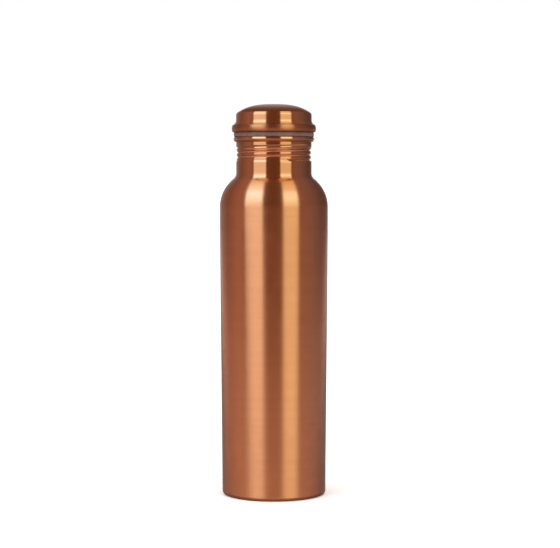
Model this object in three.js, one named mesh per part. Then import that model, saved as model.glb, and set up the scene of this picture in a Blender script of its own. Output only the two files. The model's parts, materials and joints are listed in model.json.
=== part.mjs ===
// Copper water bottle with a screw cap, in millimetres, +Z up, standing on z = 0.
// Every piece is pressed sheet (or a moulded ring) turned about the Z axis, so each one is
// a closed lathe profile. The screw thread is pressed into the sheet of the neck and of the
// plug afterwards, as the real one is rolled in, by moving the lathe's vertices inward.

import * as THREE from 'three';

// ---- driving dimensions --------------------------------------------------------------

const SHEET = 0.6;
const TURN_SEGMENTS = 40;

// wall, foot and shoulder
const FOOT_RADIUS = 34.65;
const FOOT_CORNER = 2.4;
const FOOT_INNER_RADIUS = 30.6;
const BODY_RADIUS = 36.1;
const TAPER_TOP = 177.0;
const SHOULDER_START = 192.5;
const SHOULDER_ARC = 23.5;

// neck and rim
const NECK_RADIUS = 25.1;
const NECK_FILLET = 5.0;
const NECK_DRAWN_BELOW = 1.2;
const NECK_DRAWN_ABOVE = 6.0;
const THREAD_CREST_RADIUS = 24.5;
const RIM_UNDERSIDE = 235.4;
const RIM_TOP = 239.6;
const RIM_RADIUS = 26.8;
const MOUTH_CORNER = 0.9;

// screw thread: one right-hand start, turns counted from the +X side
const THREAD_LEAD = 3.15;
const THREAD_DEPTH = 0.85;
const THREAD_HALF_WIDTH = 1.05;
const THREAD_ORIGIN = 223.85;
const THREAD_FIRST_TURN = -0.17;
const THREAD_LAST_TURN = 3.1;
const THREAD_LOWER_FADE = 0.05;
const THREAD_UPPER_FADE = 0.9;
const THREAD_ROWS_PER_TURN = 5;
const THREAD_BOTTOM = 222.3;
const THREAD_TOP = 234.9;

// base disc
const BASE_SEAT = 1.0;
const BASE_RECESS = 4.4;
const BASE_RECESS_RADIUS = 27.0;
const BASE_RADIUS = 33.7;
const BASE_CORNER = 1.5;
const BASE_SKIRT_TOP = 6.5;

// gasket
const GASKET_BOTTOM = 239.8;
const GASKET_TOP = 241.8;
const GASKET_RADIUS = 26.5;
const GASKET_INNER_RADIUS = 23.9;
const GASKET_EDGE = 0.5;

// cap
const CAP_HEM_RADIUS = 25.0;
const CAP_UNDERSIDE = 241.95;
const CAP_BEAD_RADIUS = 28.05;
const CAP_BEAD_MIDDLE = 244.45;
const CAP_BEAD_TOP = 247.1;
const CAP_BEAD_FACE = 6.0;
const CAP_BEAD_CORNER = 1.2;
const CAP_SIDE_RADIUS = 25.2;
const CAP_SIDE_FILLET = 3.6;
const CAP_EDGE_CORNER = 2.6;
const CAP_EDGE_TURN = 56;
const CAP_TOP = 260.7;
const CROWN_DROP = 5.4;
const CROWN_RADIUS = 24.1;

// threaded plug under the cap
const PLUG_CREST_RADIUS = 23.55;
const PLUG_GROOVE_EXTRA = 0.35;
const PLUG_GROOVE_TOP_TURN = 3.6;
const PLUG_GROOVE_TOP_FADE = 0.5;
const PLUG_BOTTOM = 221.5;
const PLUG_CORNER = 1.3;
const PLUG_RECESS = 1.0;
const PLUG_RECESS_RADIUS = 17.5;
const PLUG_FLANGE_BOTTOM = 242.85;
const PLUG_FLANGE_RADIUS = 26.1;

// ---- materials -----------------------------------------------------------------------

function copper(color, roughness) {
  return new THREE.MeshStandardMaterial({ color, roughness, metalness: 1.0 });
}

const satinCopper = copper(0xb5703f, 0.35);
const polishedCopper = copper(0xb86a3c, 0.2);
const plainCopper = copper(0xb06c40, 0.4);
const greySilicone = new THREE.MeshStandardMaterial({
  color: 0x7d6f72,
  roughness: 0.6,
  metalness: 0.0,
});

// ---- outlines ------------------------------------------------------------------------

function point(radius, height) {
  return new THREE.Vector2(radius, height);
}

// points on a circle in the outline plane, between two angles in degrees
function arc(centreRadius, centreHeight, size, from, to, steps) {
  const points = [];
  for (let step = 0; step <= steps; step += 1) {
    const angle = THREE.MathUtils.degToRad(from + ((to - from) * step) / steps);
    const radius = centreRadius + size * Math.cos(angle);
    points.push(point(radius, centreHeight + size * Math.sin(angle)));
  }
  return points;
}

// the line moved to its left by a distance, square to itself at every point
function movedLeft(line, distance) {
  return line.map((here, index) => {
    const before = line[Math.max(index - 1, 0)];
    const after = line[Math.min(index + 1, line.length - 1)];
    const arriving = here.clone().sub(before).normalize();
    const leaving = after.clone().sub(here).normalize();
    const along = arriving.clone().add(leaving).normalize();
    const segment = arriving.lengthSq() > 0 ? arriving : leaving;
    const stretch = distance / along.dot(segment);
    return point(here.x - along.y * stretch, here.y + along.x * stretch);
  });
}

// sheet metal: its outer line with the sheet's thickness on the left, as one closed outline
function sheetOutline(line) {
  return [...line, ...movedLeft(line, SHEET).reverse()];
}

function closedLathe(points) {
  const outline = [...points, points[0].clone()];
  const geometry = new THREE.LatheGeometry(outline, TURN_SEGMENTS);
  geometry.rotateX(Math.PI / 2);
  return geometry;
}

// ---- screw thread --------------------------------------------------------------------

// how deep the neck's groove is at one turn of the helix: it fades in and out at its ends
function neckFade(turn) {
  const lower = THREE.MathUtils.smoothstep(
    turn, THREAD_FIRST_TURN - THREAD_LOWER_FADE, THREAD_FIRST_TURN + THREAD_LOWER_FADE);
  const upper = THREE.MathUtils.smoothstep(
    turn, THREAD_LAST_TURN - THREAD_UPPER_FADE, THREAD_LAST_TURN);
  return lower * (1 - upper);
}

// the plug's groove fades only at its top, above the last turn of the neck's
function plugFade(turn) {
  return 1 - THREE.MathUtils.smoothstep(
    turn, PLUG_GROOVE_TOP_TURN - PLUG_GROOVE_TOP_FADE, PLUG_GROOVE_TOP_TURN);
}

// depth of the groove at an angle and height, for a groove of the given half width
function grooveDepth(angle, height, halfWidth, fade) {
  let depth = 0;
  for (let wholeTurns = -2; wholeTurns <= 6; wholeTurns += 1) {
    const turn = angle / (2 * Math.PI) + wholeTurns;
    const offset = height - (THREAD_ORIGIN + THREAD_LEAD * turn);
    if (Math.abs(offset) < halfWidth) {
      const section = Math.cos((Math.PI * offset) / (2 * halfWidth)) ** 2;
      depth = Math.max(depth, THREAD_DEPTH * section * fade(turn));
    }
  }
  return depth;
}

function neckGroove(angle, height) {
  return grooveDepth(angle, height, THREAD_HALF_WIDTH, neckFade);
}

// the plug's groove is wider, and runs on out of its lower end so that the cap can unscrew
function plugGroove(angle, height) {
  return grooveDepth(angle, height, THREAD_HALF_WIDTH + PLUG_GROOVE_EXTRA, plugFade);
}

// presses a groove into the upright wall of a turned sheet, on both of its faces
function pressThread(geometry, groove, wallRadius) {
  const position = geometry.attributes.position;
  const vertex = new THREE.Vector3();
  for (let index = 0; index < position.count; index += 1) {
    vertex.fromBufferAttribute(position, index);
    const radius = Math.hypot(vertex.x, vertex.y);
    if (Math.abs(radius - wallRadius) < 2 * SHEET) {
      const depth = groove(Math.atan2(vertex.y, vertex.x), vertex.z);
      const share = (radius - depth) / radius;
      position.setXYZ(index, vertex.x * share, vertex.y * share, vertex.z);
    }
  }
  geometry.computeVertexNormals();
  return geometry;
}

// heights of the rows that carry the thread, from the lower one to the upper one
function threadHeights(bottom, top) {
  const rows = Math.ceil(((top - bottom) * THREAD_ROWS_PER_TURN) / THREAD_LEAD);
  const heights = [];
  for (let row = 0; row <= rows; row += 1) {
    heights.push(bottom + ((top - bottom) * row) / rows);
  }
  return heights;
}

// ---- the bottle ----------------------------------------------------------------------

// outer radius of the neck's sheet: it is drawn in a little where the thread is rolled
function neckRadius(height) {
  const lower = THREE.MathUtils.smoothstep(height, THREAD_BOTTOM, THREAD_BOTTOM + NECK_DRAWN_BELOW);
  const upper = THREE.MathUtils.smoothstep(height, THREAD_TOP - NECK_DRAWN_ABOVE, THREAD_TOP);
  return NECK_RADIUS - (NECK_RADIUS - THREAD_CREST_RADIUS) * lower * (1 - upper);
}

// outer line of the shell, from the foot's inner edge up to just under the rim
function bottleLine() {
  const shoulderCentre = BODY_RADIUS - SHOULDER_ARC;
  const filletRadius = NECK_RADIUS + NECK_FILLET;
  const reach = (filletRadius - shoulderCentre) / (SHOULDER_ARC + NECK_FILLET);
  const meeting = THREE.MathUtils.radToDeg(Math.acos(reach));
  const filletHeight = SHOULDER_START + (SHOULDER_ARC + NECK_FILLET) * Math.sqrt(1 - reach ** 2);
  return [
    point(FOOT_INNER_RADIUS, 0),
    ...arc(FOOT_RADIUS - FOOT_CORNER, FOOT_CORNER, FOOT_CORNER, -90, 0, 4),
    point(BODY_RADIUS, TAPER_TOP),
    ...arc(shoulderCentre, SHOULDER_START, SHOULDER_ARC, 0, meeting, 9),
    ...arc(filletRadius, filletHeight, NECK_FILLET, 180 + meeting - 10, 180, 4),
    ...threadHeights(THREAD_BOTTOM, THREAD_TOP).map((height) => point(neckRadius(height), height)),
  ];
}

function makeBodyShell() {
  const line = bottleLine();
  const beadSize = (RIM_TOP - RIM_UNDERSIDE) / 2;
  const beadCentre = RIM_RADIUS - beadSize;
  const outline = [
    ...line,
    ...arc(beadCentre, RIM_UNDERSIDE + beadSize, beadSize, -90, 90, 8),
    point(NECK_RADIUS - SHEET, RIM_TOP - MOUTH_CORNER),
    ...movedLeft(line, SHEET).reverse(),
  ];
  const geometry = pressThread(closedLathe(outline), neckGroove, THREAD_CREST_RADIUS);
  return new THREE.Mesh(geometry, satinCopper);
}

// a pressed disc that rests on the foot, its middle raised and its edge turned up the wall
function makeBasePlate() {
  const line = [
    point(0, BASE_RECESS),
    point(BASE_RECESS_RADIUS, BASE_RECESS),
    point(BASE_RECESS_RADIUS + 1.2, BASE_RECESS - 1),
    point(BASE_RECESS_RADIUS + 1.8, BASE_SEAT + 0.7),
    point(BASE_RECESS_RADIUS + 3, BASE_SEAT),
    ...arc(BASE_RADIUS - BASE_CORNER, BASE_SEAT + BASE_CORNER, BASE_CORNER, -90, 0, 3),
    point(BASE_RADIUS, BASE_SKIRT_TOP),
  ];
  return new THREE.Mesh(closedLathe(sheetOutline(line)), plainCopper);
}

// ---- the cap -------------------------------------------------------------------------

function makeCapGasket() {
  const edgeCentre = GASKET_RADIUS - GASKET_EDGE;
  const outline = [
    point(GASKET_INNER_RADIUS, GASKET_BOTTOM),
    ...arc(edgeCentre, GASKET_BOTTOM + GASKET_EDGE, GASKET_EDGE, -90, 0, 2),
    ...arc(edgeCentre, GASKET_TOP - GASKET_EDGE, GASKET_EDGE, 0, 90, 2),
    point(GASKET_INNER_RADIUS, GASKET_TOP),
  ];
  return new THREE.Mesh(closedLathe(outline), greySilicone);
}

// the crown is flat in the middle and falls ever faster toward its edge
function crownPoint(radius) {
  return point(radius, CAP_TOP - CROWN_DROP * (radius / CROWN_RADIUS) ** 3);
}

// the angle at which a corner's circle passes into the bead's large face circle
function beadCornerAngle(height) {
  return THREE.MathUtils.radToDeg(
    Math.asin((height - CAP_BEAD_CORNER) / (CAP_BEAD_FACE - CAP_BEAD_CORNER)),
  );
}

// hem, barrel-shaped bead, upright side and crown, from the hem's inner edge to the middle
// of the top
function capLine() {
  const reach = CAP_BEAD_FACE - CAP_BEAD_CORNER;
  const faceCentre = CAP_BEAD_RADIUS - CAP_BEAD_FACE;
  const lower = beadCornerAngle(CAP_BEAD_MIDDLE - CAP_UNDERSIDE);
  const upper = beadCornerAngle(CAP_BEAD_TOP - CAP_BEAD_MIDDLE);
  const lowerCentre = faceCentre + reach * Math.cos(THREE.MathUtils.degToRad(lower));
  const upperCentre = faceCentre + reach * Math.cos(THREE.MathUtils.degToRad(upper));
  const upperHeight = CAP_BEAD_TOP - CAP_BEAD_CORNER;
  const filletCentre = CAP_SIDE_RADIUS + CAP_SIDE_FILLET;
  const filletReach = CAP_SIDE_FILLET + CAP_BEAD_CORNER;
  const crease = Math.acos((filletCentre - upperCentre) / filletReach);
  const filletHeight = upperHeight + filletReach * Math.sin(crease);
  const creaseDegrees = THREE.MathUtils.radToDeg(crease);
  const edgeCentre = CAP_SIDE_RADIUS - CAP_EDGE_CORNER;
  const edgeTurn = THREE.MathUtils.degToRad(CAP_EDGE_TURN);
  const edgeEnd = crownPoint(edgeCentre + CAP_EDGE_CORNER * Math.cos(edgeTurn));
  const edgeHeight = edgeEnd.y - CAP_EDGE_CORNER * Math.sin(edgeTurn);
  return [
    point(CAP_HEM_RADIUS, CAP_UNDERSIDE),
    ...arc(lowerCentre, CAP_UNDERSIDE + CAP_BEAD_CORNER, CAP_BEAD_CORNER, -90, -lower, 3),
    point(CAP_BEAD_RADIUS, CAP_BEAD_MIDDLE),
    ...arc(upperCentre, upperHeight, CAP_BEAD_CORNER, upper, creaseDegrees, 3),
    ...arc(filletCentre, filletHeight, CAP_SIDE_FILLET, 180 + creaseDegrees - 15, 180, 4),
    ...arc(edgeCentre, edgeHeight, CAP_EDGE_CORNER, 0, CAP_EDGE_TURN, 4),
    ...[22.5, 20, 17, 13, 8, 0].map(crownPoint),
  ];
}

function makeCapShell() {
  return new THREE.Mesh(closedLathe(sheetOutline(capLine())), polishedCopper);
}

// a drawn cup: its floor is stepped up in the middle, its mouth is turned out as a flange
function makeCapPlug() {
  const floorEdge = PLUG_CREST_RADIUS - THREAD_DEPTH - PLUG_CORNER;
  const wallBottom = PLUG_BOTTOM + PLUG_CORNER;
  const line = [
    point(0, PLUG_BOTTOM + PLUG_RECESS),
    point(PLUG_RECESS_RADIUS - PLUG_RECESS, PLUG_BOTTOM + PLUG_RECESS),
    point(PLUG_RECESS_RADIUS + PLUG_RECESS, PLUG_BOTTOM),
    point(floorEdge, PLUG_BOTTOM),
    ...threadHeights(wallBottom, THREAD_TOP).map((height) => point(PLUG_CREST_RADIUS, height)),
    point(PLUG_CREST_RADIUS, PLUG_FLANGE_BOTTOM),
    point(PLUG_FLANGE_RADIUS, PLUG_FLANGE_BOTTOM),
  ];
  const geometry = pressThread(closedLathe(sheetOutline(line)), plugGroove, PLUG_CREST_RADIUS);
  return new THREE.Mesh(geometry, plainCopper);
}

// ---- assembly ------------------------------------------------------------------------

const makers = {
  body_shell: makeBodyShell,
  base_plate: makeBasePlate,
  cap_gasket: makeCapGasket,
  cap_shell: makeCapShell,
  cap_plug: makeCapPlug,
};

const bottle = new THREE.Group();
for (const [name, make] of Object.entries(makers)) {
  const mesh = make();
  mesh.name = name;
  bottle.add(mesh);
}

export default bottle;
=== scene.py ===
"""Looks for the copper water bottle: fine turned meshes, copper and silicone, and a small studio.

Every piece is sheet copper or a moulded ring turned about the Z axis, so each one is an outline
of (radius, height) points in metres, turned into a mesh. The screw thread is pressed into the
neck and the plug afterwards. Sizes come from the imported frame, and the rest are set below.
"""

import json
import math

import bpy
import numpy as np
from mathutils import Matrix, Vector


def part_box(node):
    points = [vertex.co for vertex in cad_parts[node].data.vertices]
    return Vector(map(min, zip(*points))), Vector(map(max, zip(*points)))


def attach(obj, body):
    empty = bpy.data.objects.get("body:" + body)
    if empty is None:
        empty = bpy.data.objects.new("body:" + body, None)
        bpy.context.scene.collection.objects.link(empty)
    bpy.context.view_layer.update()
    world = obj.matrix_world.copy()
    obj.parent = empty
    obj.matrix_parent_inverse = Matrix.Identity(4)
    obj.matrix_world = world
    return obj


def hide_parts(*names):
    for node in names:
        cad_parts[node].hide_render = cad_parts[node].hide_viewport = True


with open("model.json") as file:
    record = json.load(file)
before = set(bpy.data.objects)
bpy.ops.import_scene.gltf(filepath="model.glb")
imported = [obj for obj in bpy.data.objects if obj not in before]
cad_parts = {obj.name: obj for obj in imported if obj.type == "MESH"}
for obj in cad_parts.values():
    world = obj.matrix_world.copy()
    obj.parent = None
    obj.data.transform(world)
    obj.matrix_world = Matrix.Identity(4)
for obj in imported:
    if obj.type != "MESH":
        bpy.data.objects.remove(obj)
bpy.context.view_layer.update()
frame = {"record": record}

MM = 0.001

# ---- sizes from the frame --------------------------------------------------------------

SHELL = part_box("body_shell")
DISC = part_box("base_plate")
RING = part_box("cap_gasket")
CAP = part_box("cap_shell")
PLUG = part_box("cap_plug")
LEAD = 2 * math.pi / frame["record"]["behaviour"]["couplings"][0]["ratio"]

BODY_RADIUS = SHELL[1].x
RIM_TOP = SHELL[1].z

# ---- sizes set here --------------------------------------------------------------------

SHEET = 0.6 * MM

FOOT_RADIUS = 34.65 * MM
FOOT_CORNER = 2.4 * MM
FOOT_INNER_RADIUS = 30.6 * MM
TAPER_TOP = 177 * MM
SHOULDER_START = 192.5 * MM
SHOULDER_ARC = 23.5 * MM

NECK_RADIUS = 25.1 * MM
NECK_FILLET = 5.0 * MM
POLISHED_RADIUS = 27.2 * MM
RIM_RADIUS = 26.8 * MM
RIM_HEIGHT = 4.2 * MM
MOUTH_CORNER = 0.9 * MM

THREAD_CREST_RADIUS = 24.65 * MM
THREAD_DEPTH = 0.85 * MM
THREAD_HALF_WIDTH = 1.05 * MM
THREAD_ORIGIN = 223.85 * MM
THREAD_BOTTOM = 222.3 * MM
THREAD_TOP = 234.9 * MM
THREAD_LEAD_IN = 1.2 * MM
THREAD_LEAD_OUT = (4.4 * MM, 2.0 * MM)
THREAD_FIRST_TURN = -0.17
THREAD_LAST_TURN = 3.1
THREAD_LOWER_FADE = 0.05
THREAD_UPPER_FADE = 0.9
THREAD_ROW = 0.2 * MM

DISC_RECESS = 4.4 * MM
DISC_RECESS_RADIUS = 27 * MM
DISC_CORNER = 1.5 * MM

GASKET_INNER_RADIUS = 23.9 * MM
GASKET_LIP = 0.5 * MM

BEAD_MIDDLE = 244.45 * MM
BEAD_TOP = 247.1 * MM
BEAD_CREASE = 247.05 * MM
BEAD_FACE = 6.0 * MM
BEAD_CORNER = 1.2 * MM
CAP_HEM_RADIUS = 25.0 * MM
CAP_SIDE_RADIUS = 25.2 * MM
CAP_SIDE_FILLET = 3.6 * MM
CAP_EDGE_CORNER = 2.6 * MM
CAP_EDGE_TURN = 56
CROWN_DROP = 5.4 * MM
CROWN_RADIUS = 24.1 * MM
CROWN_ROWS = 24

PLUG_CORNER = 1.3 * MM
PLUG_RECESS = 1.0 * MM
PLUG_RECESS_RADIUS = 16.5 * MM
PLUG_CREST_RADIUS = 23.55 * MM
PLUG_GROOVE_EXTRA = 0.35 * MM
PLUG_GROOVE_TOP_TURN = 3.6
PLUG_GROOVE_TOP_FADE = 0.5

COLUMNS = 192
WALL_ROW = 6 * MM

# ---- outlines --------------------------------------------------------------------------


def arc(centre_radius, centre_height, size, start, end, step=6):
    """Points on a circle in the outline plane, between two angles in degrees."""
    steps = max(2, math.ceil(abs(end - start) / step))
    angles = np.radians(np.linspace(start, end, steps + 1))
    return np.stack([centre_radius + size * np.cos(angles), centre_height + size * np.sin(angles)], 1)


def joined(*stretches, row=WALL_ROW):
    """One line through all the stretches. Long gaps get rows, closer together near their ends."""
    line = [np.atleast_2d(np.array(stretches[0], float))]
    for stretch in stretches[1:]:
        stretch = np.atleast_2d(np.array(stretch, float))
        start, end = line[-1][-1], stretch[0]
        gap = np.linalg.norm(end - start)
        if gap > 0.4 * MM:
            steps = max(4, math.ceil(gap / row))
            share = (1 - np.cos(np.pi * np.arange(1, steps) / steps)) / 2
            line.append(start + share[:, None] * (end - start))
        line.append(stretch)
    return np.concatenate(line)


def moved_left(line, distance):
    """The line moved to its left, square to itself at every point."""
    steps = np.diff(line, axis=0)
    steps /= np.linalg.norm(steps, axis=1)[:, None]
    arriving, leaving = np.vstack([steps[:1], steps]), np.vstack([steps, steps[-1:]])
    along = arriving + leaving
    along /= np.linalg.norm(along, axis=1)[:, None]
    stretch = distance / np.sum(along * leaving, axis=1)
    return line + stretch[:, None] * np.stack([-along[:, 1], along[:, 0]], 1)


def sheet_metal(line, thickness=SHEET):
    """Closed outline of a sheet whose outer face is the line, with both cut edges rounded."""
    inner = moved_left(line, thickness)[::-1]
    return np.concatenate([line, round_edge(line[-1], inner[0]), inner, round_edge(inner[-1], line[0])])


def round_edge(start, end):
    """Points of a half circle from start to end, without the two of them; none on the axis."""
    if start[0] < 0.01 * MM:
        return np.empty((0, 2))
    centre, half = (start + end) / 2, (start - end) / 2
    side = np.array([-half[1], half[0]])
    angles = np.radians([30, 60, 90, 120, 150])
    return centre + np.cos(angles)[:, None] * half + np.sin(angles)[:, None] * side


# ---- screw thread ----------------------------------------------------------------------


def smoothstep(value, low, high):
    share = np.clip((value - low) / (high - low), 0, 1)
    return share * share * (3 - 2 * share)


def neck_fade(turn):
    lower = smoothstep(turn, THREAD_FIRST_TURN - THREAD_LOWER_FADE, THREAD_FIRST_TURN + THREAD_LOWER_FADE)
    upper = smoothstep(turn, THREAD_LAST_TURN - THREAD_UPPER_FADE, THREAD_LAST_TURN)
    return lower * (1 - upper)


def plug_fade(turn):
    return 1 - smoothstep(turn, PLUG_GROOVE_TOP_TURN - PLUG_GROOVE_TOP_FADE, PLUG_GROOVE_TOP_TURN)


def groove_depth(angle, height, half_width, fade):
    """Depth of the helical groove at each angle and height: one right-hand start."""
    depth = np.zeros_like(height)
    for whole_turns in range(-2, 7):
        turn = angle / (2 * math.pi) + whole_turns
        offset = np.clip((height - THREAD_ORIGIN - LEAD * turn) / half_width, -1, 1)
        depth = np.maximum(depth, THREAD_DEPTH * np.cos(offset * math.pi / 2) ** 2 * fade(turn))
    return depth


def neck_groove(angle, height):
    return groove_depth(angle, height, THREAD_HALF_WIDTH, neck_fade)


def plug_groove(angle, height):
    return groove_depth(angle, height, THREAD_HALF_WIDTH + PLUG_GROOVE_EXTRA, plug_fade)


# ---- meshes ----------------------------------------------------------------------------


def turned(name, outline, materials, starts=(), groove=None, wall_radius=None):
    """A closed mesh: the outline turned about Z. A groove is pressed into the sheet whose radius
    is near wall_radius, and its depth is kept as the attribute rolled, from 0 to 1. Each later
    material begins at its row of starts."""
    angles = np.linspace(0, 2 * math.pi, COLUMNS, endpoint=False)
    radius = np.repeat(outline[:, :1], COLUMNS, axis=1)
    height = np.repeat(outline[:, 1:], COLUMNS, axis=1)
    pressed = np.zeros_like(radius)
    if groove:
        near = np.abs(radius - wall_radius) < 2 * SHEET
        pressed = np.where(near, groove(np.broadcast_to(angles, radius.shape), height), 0)
    radius = radius - pressed
    on_axis = outline[:, 0] < 0.001 * MM
    vertices, rings, rolled = [], [], []
    for row in range(len(outline)):
        start = len(vertices)
        if on_axis[row]:
            vertices.append((0, 0, height[row, 0]))
            rings.append([start] * COLUMNS)
            rolled.append(0)
            continue
        x, y = radius[row] * np.cos(angles), radius[row] * np.sin(angles)
        vertices.extend(zip(x, y, height[row]))
        rings.append(list(range(start, start + COLUMNS)))
        rolled.extend(pressed[row] / THREAD_DEPTH)
    faces, slots = [], []
    for row in range(len(rings)):
        lower, upper = rings[row], rings[(row + 1) % len(rings)]
        if on_axis[row] and on_axis[(row + 1) % len(rings)]:
            continue
        for column in range(COLUMNS):
            after = (column + 1) % COLUMNS
            corners = (lower[column], lower[after], upper[after], upper[column])
            faces.append(tuple(dict.fromkeys(corners)))
            slots.append(sum(row >= start for start in starts))
    mesh = bpy.data.meshes.new(name)
    mesh.from_pydata([tuple(map(float, v)) for v in vertices], [], faces)
    for material in materials:
        mesh.materials.append(material)
    mesh.polygons.foreach_set("material_index", slots)
    mesh.polygons.foreach_set("use_smooth", [True] * len(faces))
    mesh.attributes.new("rolled", "FLOAT", "POINT").data.foreach_set("value", rolled)
    mesh.update()
    piece = bpy.data.objects.new(name, mesh)
    bpy.context.scene.collection.objects.link(piece)
    return piece


# ---- the bottle ------------------------------------------------------------------------


def neck_rows():
    """Rows of the neck's outer face: drawn in a little where the thread is rolled."""
    rows = round((THREAD_TOP - THREAD_BOTTOM) / THREAD_ROW)
    height = np.linspace(THREAD_BOTTOM, THREAD_TOP, rows + 1)
    lower = smoothstep(height, THREAD_BOTTOM, THREAD_BOTTOM + THREAD_LEAD_IN)
    start, end = THREAD_LEAD_OUT
    upper = smoothstep(height, THREAD_TOP - start, THREAD_TOP - end)
    radius = NECK_RADIUS - (NECK_RADIUS - THREAD_CREST_RADIUS) * lower * (1 - upper)
    return np.stack([radius, height], 1)


def bottle_line():
    """Outer face of the shell, from the foot's inner edge up to just under the rim."""
    centre = BODY_RADIUS - SHOULDER_ARC
    reach = (NECK_RADIUS + NECK_FILLET - centre) / (SHOULDER_ARC + NECK_FILLET)
    meeting = math.degrees(math.acos(reach))
    fillet_height = SHOULDER_START + (SHOULDER_ARC + NECK_FILLET) * math.sqrt(1 - reach**2)
    return joined(
        (FOOT_INNER_RADIUS, 0),
        arc(FOOT_RADIUS - FOOT_CORNER, FOOT_CORNER, FOOT_CORNER, -90, 0),
        (BODY_RADIUS, TAPER_TOP),
        arc(centre, SHOULDER_START, SHOULDER_ARC, 0, meeting, step=2),
        arc(NECK_RADIUS + NECK_FILLET, fillet_height, NECK_FILLET, 180 + meeting, 180)[1:],
        neck_rows(),
    )


def make_shell(wall, neck, inside):
    """Wall, shoulder, neck and rolled rim in one sheet, open at the mouth. The neck's brighter
    polish begins near the top of the shoulder."""
    line = bottle_line()
    wall_rows = int(np.argmax((line[:, 0] < POLISHED_RADIUS) & (line[:, 1] > SHOULDER_START)))
    bead_size = RIM_HEIGHT / 2
    bead_height = RIM_TOP - bead_size
    bead = arc(RIM_RADIUS - bead_size, bead_height, bead_size, -115, 90)
    tuck = (NECK_RADIUS, bead[0][1] + 0.1 * MM)
    mouth_radius = NECK_RADIUS - SHEET
    mouth = arc(mouth_radius + MOUTH_CORNER, RIM_TOP - MOUTH_CORNER, MOUTH_CORNER, 90, 180)
    inner = moved_left(line, SHEET)[::-1]
    outline = joined(line, tuck, bead, mouth, inner)
    piece = turned(
        "bottle_shell",
        outline,
        [wall, neck, inside],
        starts=(wall_rows, len(outline) - len(inner)),
        groove=neck_groove,
        wall_radius=THREAD_CREST_RADIUS,
    )
    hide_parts("body_shell")
    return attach(piece, "bottle")


def make_base(underside, inside):
    """The pressed disc on the foot, with its middle raised and its edge turned up the wall."""
    seat, radius, skirt_top = DISC[0].z, DISC[1].x, DISC[1].z
    line = joined(
        (0, DISC_RECESS),
        arc(DISC_RECESS_RADIUS, DISC_RECESS - 1.2 * MM, 1.2 * MM, 90, 20),
        arc(DISC_RECESS_RADIUS + 2.9 * MM, seat + 1.6 * MM, 1.6 * MM, 200, 270),
        arc(radius - DISC_CORNER, seat + DISC_CORNER, DISC_CORNER, -90, 0),
        (radius, skirt_top),
    )
    piece = turned("base_disc", sheet_metal(line), [underside, inside], starts=(len(line),))
    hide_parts("base_plate")
    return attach(piece, "bottle")


# ---- the cap ---------------------------------------------------------------------------


def make_gasket(material):
    """The grey ring, squeezed between the rim and the cap's hem until its outer edge bulges a
    little way down over the rim."""
    bottom, top = RING[0].z - 0.15 * MM, RING[1].z + 0.1 * MM
    radius, upper_edge, lower_edge = RING[1].x + 0.1 * MM, 0.5 * MM, 0.35 * MM
    outline = joined(
        (GASKET_INNER_RADIUS, bottom),
        (radius - 1.1 * MM, bottom),
        arc(radius - lower_edge, bottom - GASKET_LIP + lower_edge, lower_edge, -130, 0),
        arc(radius - upper_edge, top - upper_edge, upper_edge, 0, 90),
        (GASKET_INNER_RADIUS, top),
        (GASKET_INNER_RADIUS, bottom + 0.2 * MM),
    )
    piece = turned("gasket_ring", outline, [material])
    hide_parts("cap_gasket")
    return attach(piece, "gasket")


def crown(radii):
    """The crown's points: flat in the middle, falling ever faster toward its edge."""
    radii = np.array(radii)
    return np.stack([radii, CAP[1].z - CROWN_DROP * (radii / CROWN_RADIUS) ** 3], 1)


def bead_corner_angle(height):
    """Angle from level at which the bead's face runs into the corner that ends this high above
    or below its middle."""
    return math.asin((height - BEAD_CORNER) / (BEAD_FACE - BEAD_CORNER))


def cap_line():
    """Outer face of the cap, from the hem's inner edge to the middle of the top. The bead is
    barrel-shaped, and runs into the side through a fillet."""
    underside, face_centre = CAP[0].z, CAP[1].x - BEAD_FACE
    lower = bead_corner_angle(BEAD_MIDDLE - underside)
    upper = bead_corner_angle(BEAD_TOP - BEAD_MIDDLE)
    lower_radius, upper_radius = (
        face_centre + (BEAD_FACE - BEAD_CORNER) * math.cos(angle) for angle in (lower, upper)
    )
    lower_height, upper_height = underside + BEAD_CORNER, BEAD_TOP - BEAD_CORNER
    fillet_radius, reach = CAP_SIDE_RADIUS + CAP_SIDE_FILLET, CAP_SIDE_FILLET + BEAD_CORNER
    crease = math.acos((fillet_radius - upper_radius) / reach)
    fillet_height = upper_height + reach * math.sin(crease)
    edge_radius, edge_turn = CAP_SIDE_RADIUS - CAP_EDGE_CORNER, math.radians(CAP_EDGE_TURN)
    edge_end = crown([edge_radius + CAP_EDGE_CORNER * math.cos(edge_turn)])[0]
    edge_height = edge_end[1] - CAP_EDGE_CORNER * math.sin(edge_turn)
    lower, upper, crease = (math.degrees(angle) for angle in (lower, upper, crease))
    return joined(
        (CAP_HEM_RADIUS, underside),
        arc(lower_radius, lower_height, BEAD_CORNER, -90, -lower),
        arc(face_centre, BEAD_MIDDLE, BEAD_FACE, -lower, upper, step=3)[1:],
        arc(upper_radius, upper_height, BEAD_CORNER, upper, crease)[1:],
        arc(fillet_radius, fillet_height, CAP_SIDE_FILLET, 180 + crease, 180, step=4)[1:],
        arc(edge_radius, edge_height, CAP_EDGE_CORNER, 0, CAP_EDGE_TURN, step=4),
        crown(np.linspace(CROWN_RADIUS - 0.7 * MM, 0, CROWN_ROWS)),
    )


def make_cap_shell(bead, outside, inside):
    """The domed outer shell, its lower edge rolled into a bead and hemmed under."""
    line = cap_line()
    bead_rows = int(np.argmax(line[:, 1] > BEAD_CREASE))
    # The bead's rows take the first material, whose darker colour is painted shade.
    piece = turned(
        "cap_dome", sheet_metal(line), [bead, outside, inside], starts=(bead_rows, len(line))
    )
    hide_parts("cap_shell")
    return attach(piece, "cap")


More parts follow.
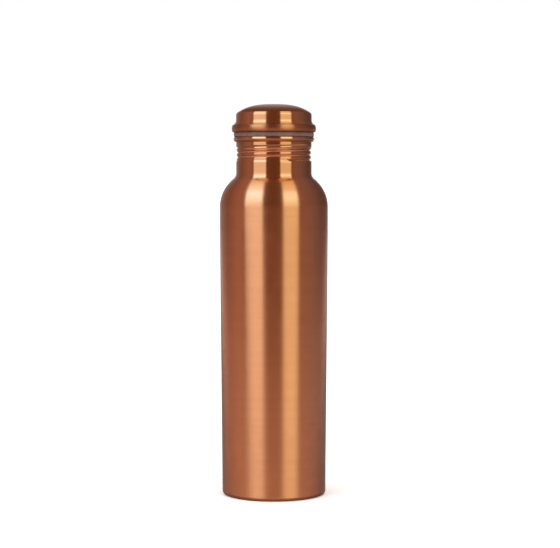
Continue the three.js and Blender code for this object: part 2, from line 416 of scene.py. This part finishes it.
def make_plug(outside, inside):
    """The threaded cup under the cap, its mouth turned out as a flange inside the bead."""
    bottom, flange_radius, flange = PLUG[0].z, PLUG[1].x, PLUG[1].z - SHEET
    rows = round((THREAD_TOP - bottom - PLUG_CORNER) / THREAD_ROW)
    height = np.linspace(bottom + PLUG_CORNER, THREAD_TOP, rows + 1)
    wall = np.stack([np.full_like(height, PLUG_CREST_RADIUS), height], 1)
    line = joined(
        (0, bottom + PLUG_RECESS),
        arc(PLUG_RECESS_RADIUS, bottom + 0.2 * MM, 0.8 * MM, 90, 40),
        arc(PLUG_RECESS_RADIUS + 2.1 * MM, bottom + 0.8 * MM, 0.8 * MM, 220, 270),
        arc(PLUG_CREST_RADIUS - THREAD_DEPTH - PLUG_CORNER, bottom + PLUG_CORNER, PLUG_CORNER, -90, -20),
        wall,
        (PLUG_CREST_RADIUS, flange - 0.6 * MM),
        arc(PLUG_CREST_RADIUS + 0.5 * MM, flange - 0.5 * MM, 0.5 * MM, 180, 90),
        (flange_radius, flange),
    )
    piece = turned(
        "plug_cup",
        sheet_metal(line),
        [outside, inside],
        starts=(len(line),),
        groove=plug_groove,
        wall_radius=PLUG_CREST_RADIUS,
    )
    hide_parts("cap_plug")
    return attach(piece, "cap")


# ---- materials -------------------------------------------------------------------------

# Paler colour for rolled grooves: a painted highlight on the groove lines.
GROOVE_HIGHLIGHT_COLOUR = (0.97, 0.61, 0.42)
WORN_BELOW = 160 * MM


def add(tree, kind, settings=(), **inputs):
    """One shader node. Inputs are named with _ for a space; a socket links, a value is set."""
    node = tree.nodes.new(kind)
    for name, value in dict(settings).items():
        setattr(node, name, value)
    for name, value in inputs.items():
        socket = node.inputs[int(name[1:])] if name[1:].isdigit() else node.inputs[name.replace("_", " ")]
        if isinstance(value, bpy.types.NodeSocket):
            tree.links.new(value, socket)
        else:
            socket.default_value = value
    return node


def math_node(tree, operation, *values):
    inputs = {f"_{number}": value for number, value in enumerate(values)}
    return add(tree, "ShaderNodeMath", {"operation": operation}, **inputs).outputs[0]


def mix_colour(tree, factor, start, end, blend="MIX"):
    node = add(tree, "ShaderNodeMix", {"data_type": "RGBA", "blend_type": blend}, _0=factor)
    for number, colour in ((6, start), (7, end)):
        if isinstance(colour, bpy.types.NodeSocket):
            tree.links.new(colour, node.inputs[number])
        else:
            node.inputs[number].default_value = (*colour, 1)
    return node.outputs[2]


def ranged(tree, value, low, high, to_low, to_high):
    """The value's range from low to high, smoothly spread over to_low to to_high."""
    node = add(tree, "ShaderNodeMapRange", {"interpolation_type": "SMOOTHSTEP"}, Value=value)
    for name, number in zip(("From Min", "From Max", "To Min", "To Max"), (low, high, to_low, to_high)):
        node.inputs[name].default_value = number
    return node.outputs["Result"]


def noise(tree, place, size, detail=3, stretch=(1, 1, 1)):
    """Noise whose features are about size metres across, divided by the stretch on each axis."""
    scale = [factor / size for factor in stretch]
    mapping = add(tree, "ShaderNodeMapping", Vector=place, Scale=scale)
    made = add(tree, "ShaderNodeTexNoise", Vector=mapping.outputs[0], Scale=1.0, Detail=detail)
    return made.outputs["Fac"]


def new_material(name):
    material = bpy.data.materials.new(name)
    material.use_nodes = True
    tree = material.node_tree
    tree.nodes.clear()
    surface = tree.nodes.new("ShaderNodeBsdfPrincipled")
    output = tree.nodes.new("ShaderNodeOutputMaterial")
    tree.links.new(surface.outputs[0], output.inputs["Surface"])
    place = add(tree, "ShaderNodeTexCoord").outputs["Object"]
    return material, tree, surface, place


def copper(name, bright, dull, roughness, anisotropy, lines, tint=0.35, worn=0.0):
    """Turned copper: fine lines round the axis, cloudy tone, and smudges in its polish. Rolled
    grooves are rougher, and their paler colour is a painted highlight on the groove lines. Worn is how
    much rougher it gets toward the foot."""
    material, tree, surface, place = new_material(name)
    fine_lines = noise(tree, place, 0.25 * MM, detail=4, stretch=(0.01, 0.01, 1))
    broad_lines = noise(tree, place, 1.7 * MM, detail=2, stretch=(0.02, 0.02, 1))
    clouds = noise(tree, place, 22 * MM, detail=4)
    smudges = noise(tree, place, 7 * MM, detail=5)
    tone = math_node(tree, "MULTIPLY_ADD", broad_lines, 0.6, clouds)
    colour = mix_colour(tree, ranged(tree, tone, 0.5, 1.1, 0.0, tint), bright, dull)
    rolled = add(tree, "ShaderNodeAttribute", {"attribute_name": "rolled"}).outputs["Fac"]
    groove_scuff_and_highlight = ranged(tree, rolled, 0.5, 0.95, 0.0, 1.0)
    # Painted highlight: rolled grooves turn paler, standing in for the light on the groove lines; their
    # extra roughness below is the rolled finish.
    colour = mix_colour(tree, math_node(tree, "MULTIPLY", groove_scuff_and_highlight, 0.8), colour, GROOVE_HIGHLIGHT_COLOUR)
    tree.links.new(colour, surface.inputs["Base Color"])
    polish = math_node(tree, "MULTIPLY_ADD", fine_lines, 0.5, smudges)
    finish = ranged(tree, polish, 0.45, 1.05, *roughness)
    finish = math_node(tree, "MULTIPLY_ADD", groove_scuff_and_highlight, 0.5, finish)
    height = add(tree, "ShaderNodeSeparateXYZ", Vector=place).outputs["Z"]
    finish = math_node(tree, "ADD", finish, ranged(tree, height, 0.0, WORN_BELOW, worn, 0.0))
    tree.links.new(finish, surface.inputs["Roughness"])
    bump = add(tree, "ShaderNodeBump", Height=fine_lines, Strength=lines, Distance=0.02 * MM)
    tree.links.new(bump.outputs[0], surface.inputs["Normal"])
    tangent = add(tree, "ShaderNodeTangent", {"direction_type": "RADIAL", "axis": "Z"})
    tree.links.new(tangent.outputs[0], surface.inputs["Tangent"])
    surface.inputs["Metallic"].default_value = 1.0
    surface.inputs["Anisotropic"].default_value = anisotropy
    surface.inputs["Anisotropic Rotation"].default_value = 0.25
    return material


def silicone(name):
    """Moulded grey silicone: soft sheen, fine grain, and a little dust. Its dark, warm colour is the
    ring's own grey with painted shade from the bead above and a painted reflection of the copper.
    """
    material, tree, surface, place = new_material(name)
    grain = noise(tree, place, 0.12 * MM, detail=2)
    cloud = noise(tree, place, 4 * MM, detail=3)
    dusty = ranged(tree, cloud, 0.35, 0.7, 0.0, 1.0)
    # Dark warm brown-grey: painted shade and painted copper reflection over the ring's own grey; the mix
    # between the two colours is dust.
    colour = mix_colour(tree, dusty, (0.142, 0.078, 0.066), (0.175, 0.102, 0.088))
    tree.links.new(colour, surface.inputs["Base Color"])
    tree.links.new(ranged(tree, cloud, 0.3, 0.7, 0.42, 0.55), surface.inputs["Roughness"])
    bump = add(tree, "ShaderNodeBump", Height=grain, Strength=0.25, Distance=0.02 * MM)
    tree.links.new(bump.outputs[0], surface.inputs["Normal"])
    return material


# ---- studio ----------------------------------------------------------------------------

# What the metal mirrors: stops of (angle in degrees, colour or grey). The room's go round by
# turn, and the rest go up by rise.
ROOM = [
    (-180, (0.38, 0.40, 0.46)),
    (-142, (0.23, 0.19, 0.20)),
    (-116, (0.20, 0.115, 0.105)),
    (-80, (0.34, 0.19, 0.16)),
    (-50, (0.20, 0.10, 0.07)),
    (0, (0.142, 0.064, 0.040)),
    (50, (0.20, 0.10, 0.06)),
    (66, (0.26, 0.145, 0.12)),
    (90, (0.20, 0.14, 0.15)),
    (125, (0.12, 0.08, 0.085)),
    (150, (0.10, 0.08, 0.09)),
    (180, (0.38, 0.40, 0.46)),
]
LOW_ROOM = [
    (-180, (0.71, 0.69, 0.78)),
    (-150, (0.64, 0.55, 0.59)),
    (-110, (0.57, 0.38, 0.38)),
    (-80, (0.70, 0.465, 0.42)),
    (0, (0.885, 0.58, 0.50)),
    (70, (0.68, 0.475, 0.455)),
    (120, (0.43, 0.33, 0.365)),
    (180, (0.71, 0.69, 0.78)),
]
UNDER_SHADE = [(-180, 0.12), (-70, 0.28), (-45, 0.35), (-34, 0.28), (-23, 0.35), (-15.5, 1.0)]
BENEATH = [(-180, (0.32, 0.26, 0.24)), (-150, (0.26, 0.20, 0.18)), (-110, (0.12, 0.085, 0.075))]
ABOVE = [
    (110, (0.150, 0.066, 0.036)),
    (121, (0.160, 0.070, 0.044)),
    (129, (0.18, 0.11, 0.095)),
    (138, (0.23, 0.19, 0.22)),
    (150, (0.31, 0.32, 0.38)),
    (180, (0.56, 0.57, 0.62)),
]
LEFT_LIGHT = [
    (-100, 0.0),
    (-60, (0.40, 0.28, 0.22)),
    (-32, (0.28, 0.20, 0.16)),
    (-16, (0.55, 0.47, 0.42)),
    (-12, (1.36, 1.08, 0.98)),
    (-8, (0.84, 0.78, 0.745)),
    (-4, (0.90, 0.88, 0.86)),
    (8, (1.12, 1.12, 1.05)),
    (22, (1.25, 1.5, 1.8)),
    (48, (1.55, 1.95, 2.6)),
    (64, (1.2, 1.4, 1.5)),
    (92, (0.97, 0.92, 0.82)),
    (107, (1.2, 1.12, 1.02)),
    (113, 0.0),
]
RIGHT_LIGHT = [
    (-100, 0.0),
    (-60, (0.38, 0.26, 0.17)),
    (-32, (0.24, 0.16, 0.12)),
    (-16, (0.45, 0.35, 0.25)),
    (-12, (1.65, 1.5, 1.2)),
    (-8, (0.725, 0.68, 0.525)),
    (-4, (0.78, 0.73, 0.54)),
    (8, (1.09, 1.07, 0.82)),
    (22, (1.2, 1.4, 1.3)),
    (44, (1.3, 1.55, 1.6)),
    (56, (1.05, 1.03, 0.83)),
    (90, (0.87, 0.70, 0.43)),
    (107, (1.3, 1.0, 0.64)),
    (113, 0.0),
]
BEHIND = (0.40, 0.36, 0.38)

# Where each part of the surroundings takes over: it begins at the first rise and is alone from
# the second.
LOW_ROOM_RISE = (-8.4, -13.2)
BENEATH_RISE = (-70.0, -110.0)
ABOVE_RISE = (104.0, 114.0)

# The turns of each strip's left and right edges, as (turn above, turn below). Going down, the
# edges move from one to the other over STRIP_RISE, and get softer.
LEFT_STRIP = ((-64, -50), (-24, -19))
RIGHT_STRIP = ((20, 21), (54, 52))
STRIP_RISE = (0.0, -11.0)
STRIP_SOFTNESS = 5
STRIP_LOW_SOFTNESS = 22


def painted(tree, value, stops):
    """A colour that changes with the value, through stops of (value, colour or grey)."""
    low, high = stops[0][0], stops[-1][0]
    share = add(tree, "ShaderNodeMapRange", Value=value)
    for name, number in zip(("From Min", "From Max"), (low, high)):
        share.inputs[name].default_value = number
    node = add(tree, "ShaderNodeValToRGB", _0=share.outputs["Result"])
    elements = node.color_ramp.elements
    while len(elements) < len(stops):
        elements.new(0.5)
    for element, (at, colour) in zip(elements, stops):
        element.position = (at - low) / (high - low)
        element.color = (*colour, 1) if isinstance(colour, tuple) else (colour, colour, colour, 1)
    return node.outputs["Color"]


def mirrored_angles(tree, axes):
    """Twice the turn and twice the rise, in degrees, of the surface that mirrors each direction
    to someone in front: 0, 0 is straight back at them, and 0, 90 is overhead."""
    front = math_node(tree, "SUBTRACT", 1.0, axes["Y"])
    level = math_node(tree, "POWER", axes["X"], 2.0)
    level = math_node(tree, "MULTIPLY_ADD", front, front, level)
    level = math_node(tree, "SQRT", level)
    turn = math_node(tree, "ARCTAN2", axes["X"], front)
    rise = math_node(tree, "ARCTAN2", axes["Z"], level)
    twice = math.degrees(2)
    return math_node(tree, "MULTIPLY", turn, twice), math_node(tree, "MULTIPLY", rise, twice)


def strip(tree, turn, rise, left, right):
    """1 between the strip's left and right edges, and 0 outside them."""
    lower = ranged(tree, rise, *STRIP_RISE, 0.0, 1.0)
    edges = []
    for above, below in (left, right):
        at = math_node(tree, "MULTIPLY_ADD", lower, below - above, above)
        blur = math_node(
            tree, "MULTIPLY_ADD", lower, STRIP_LOW_SOFTNESS - STRIP_SOFTNESS, STRIP_SOFTNESS
        )
        offset = math_node(tree, "DIVIDE", math_node(tree, "SUBTRACT", turn, at), blur)
        edges.append(ranged(tree, offset, -0.5, 0.5, 0.0, 1.0))
    return math_node(tree, "SUBTRACT", edges[0], edges[1])


def surroundings(tree, turn, rise):
    """The warm dark room, with its paler lower part, its ceiling and what lies underneath."""
    lower = ranged(tree, rise, *LOW_ROOM_RISE, 0.0, 1.0)
    colour = mix_colour(tree, lower, painted(tree, turn, ROOM), painted(tree, turn, LOW_ROOM))
    colour = mix_colour(tree, 1.0, colour, painted(tree, rise, UNDER_SHADE), "MULTIPLY")
    beneath = ranged(tree, rise, *BENEATH_RISE, 0.0, 1.0)
    colour = mix_colour(tree, beneath, colour, painted(tree, rise, BENEATH))
    overhead = ranged(tree, rise, *ABOVE_RISE, 0.0, 1.0)
    return mix_colour(tree, overhead, colour, painted(tree, rise, ABOVE))


def make_studio():
    """What the metal mirrors: a warm dark room with two tall softboxes, and a pale floor."""
    world = bpy.data.worlds.new("studio")
    bpy.context.scene.world = world
    world.use_nodes = True
    tree = world.node_tree
    tree.nodes.clear()
    direction = add(tree, "ShaderNodeTexCoord").outputs["Generated"]
    axes = add(tree, "ShaderNodeSeparateXYZ", Vector=direction).outputs
    turn, rise = mirrored_angles(tree, axes)
    colour = surroundings(tree, turn, rise)
    for edges, stops in ((LEFT_STRIP, LEFT_LIGHT), (RIGHT_STRIP, RIGHT_LIGHT)):
        lit = mix_colour(tree, 1.0, colour, painted(tree, rise, stops), "LIGHTEN")
        colour = mix_colour(tree, strip(tree, turn, rise, *edges), colour, lit)
    behind = ranged(tree, axes["Y"], 0.90, 0.99, 0.0, 1.0)
    colour = mix_colour(tree, behind, colour, BEHIND)
    mirrored = add(tree, "ShaderNodeBackground", Color=colour, Strength=1.0)
    backdrop = add(tree, "ShaderNodeBackground", Color=(1.0, 1.0, 1.0, 1), Strength=1.0)
    seen = add(tree, "ShaderNodeLightPath").outputs["Is Camera Ray"]
    both = add(tree, "ShaderNodeMixShader", _0=seen, _1=mirrored.outputs[0], _2=backdrop.outputs[0])
    output = tree.nodes.new("ShaderNodeOutputWorld")
    tree.links.new(both.outputs[0], output.inputs["Surface"])


def make_floor():
    """A plain pale table top under the bottle, and the soft light above that the metal doesn't
    mirror."""
    material, tree, surface, place = new_material("table_top")
    fleck = ranged(tree, noise(tree, place, 60 * MM), 0.3, 0.7, 0.0, 1.0)
    colour = mix_colour(tree, fleck, (0.90, 0.90, 0.90), (0.92, 0.92, 0.92))
    tree.links.new(colour, surface.inputs["Base Color"])
    surface.inputs["Roughness"].default_value = 0.8
    half = 40.0
    mesh = bpy.data.meshes.new("floor")
    corners = [(-half, -half, 0), (half, -half, 0), (half, half, 0), (-half, half, 0)]
    mesh.from_pydata(corners, [], [(0, 1, 2, 3)])
    mesh.materials.append(material)
    floor = bpy.data.objects.new("floor", mesh)
    bpy.context.scene.collection.objects.link(floor)
    floor.visible_glossy = False

    lamp = bpy.data.lights.new("overhead", "SUN")
    lamp.angle = math.radians(100)
    lamp.energy = 3.6
    overhead = bpy.data.objects.new("overhead", lamp)
    overhead.visible_glossy = False
    overhead.visible_camera = False
    bpy.context.scene.collection.objects.link(overhead)


def make_camera():
    """Level with the neck, a little right of the axis, looking slightly down."""
    aside, distance, height, dip = 4.07 * MM, 1.2, 215.7 * MM, math.radians(3.25)
    data = bpy.data.cameras.new("camera")
    data.sensor_width = 36
    data.lens = 115.5
    camera = bpy.data.objects.new("camera", data)
    camera.location = (aside, -distance, height)
    camera.rotation_euler = (math.pi / 2 - dip, 0, 0)
    bpy.context.scene.collection.objects.link(camera)
    bpy.context.scene.camera = camera


# ---- scene -----------------------------------------------------------------------------

make_camera()
make_studio()
make_floor()
bpy.context.scene.view_settings.view_transform = "Standard"

satin = copper(
    "satin_copper",
    bright=(0.90, 0.445, 0.23),
    dull=(0.84, 0.40, 0.20),
    roughness=(0.17, 0.21),
    anisotropy=0.6,
    lines=0.08,
    tint=0.7,
    worn=0.05,
)
polished = copper(
    "polished_copper",
    bright=(0.845, 0.425, 0.215),
    dull=(0.79, 0.38, 0.19),
    roughness=(0.07, 0.13),
    anisotropy=0.3,
    lines=0.04,
)
# The bead's copper: rougher than the cap's, and its darker colour is painted shade on the bead.
rough_bead_copper_shaded = copper(
    "bead_copper_with_painted_shade",
    bright=(0.66, 0.287, 0.132),
    dull=(0.59, 0.252, 0.114),
    roughness=(0.27, 0.33),
    anisotropy=0.7,
    lines=0.04,
)
plain = copper(
    "plain_copper",
    bright=(0.86, 0.44, 0.25),
    dull=(0.70, 0.32, 0.17),
    roughness=(0.29, 0.40),
    anisotropy=0.5,
    lines=0.3,
    tint=0.8,
)
raw = copper(
    "raw_copper",
    bright=(0.80, 0.40, 0.23),
    dull=(0.55, 0.24, 0.13),
    roughness=(0.34, 0.50),
    anisotropy=0.5,
    lines=0.3,
    tint=1.0,
)
# The ring's colour holds painted shade and a painted copper reflection.
grey = silicone("grey_silicone")

make_shell(satin, polished, raw)
make_base(plain, raw)
make_gasket(grey)
make_cap_shell(rough_bead_copper_shaded, polished, raw)
make_plug(plain, raw)
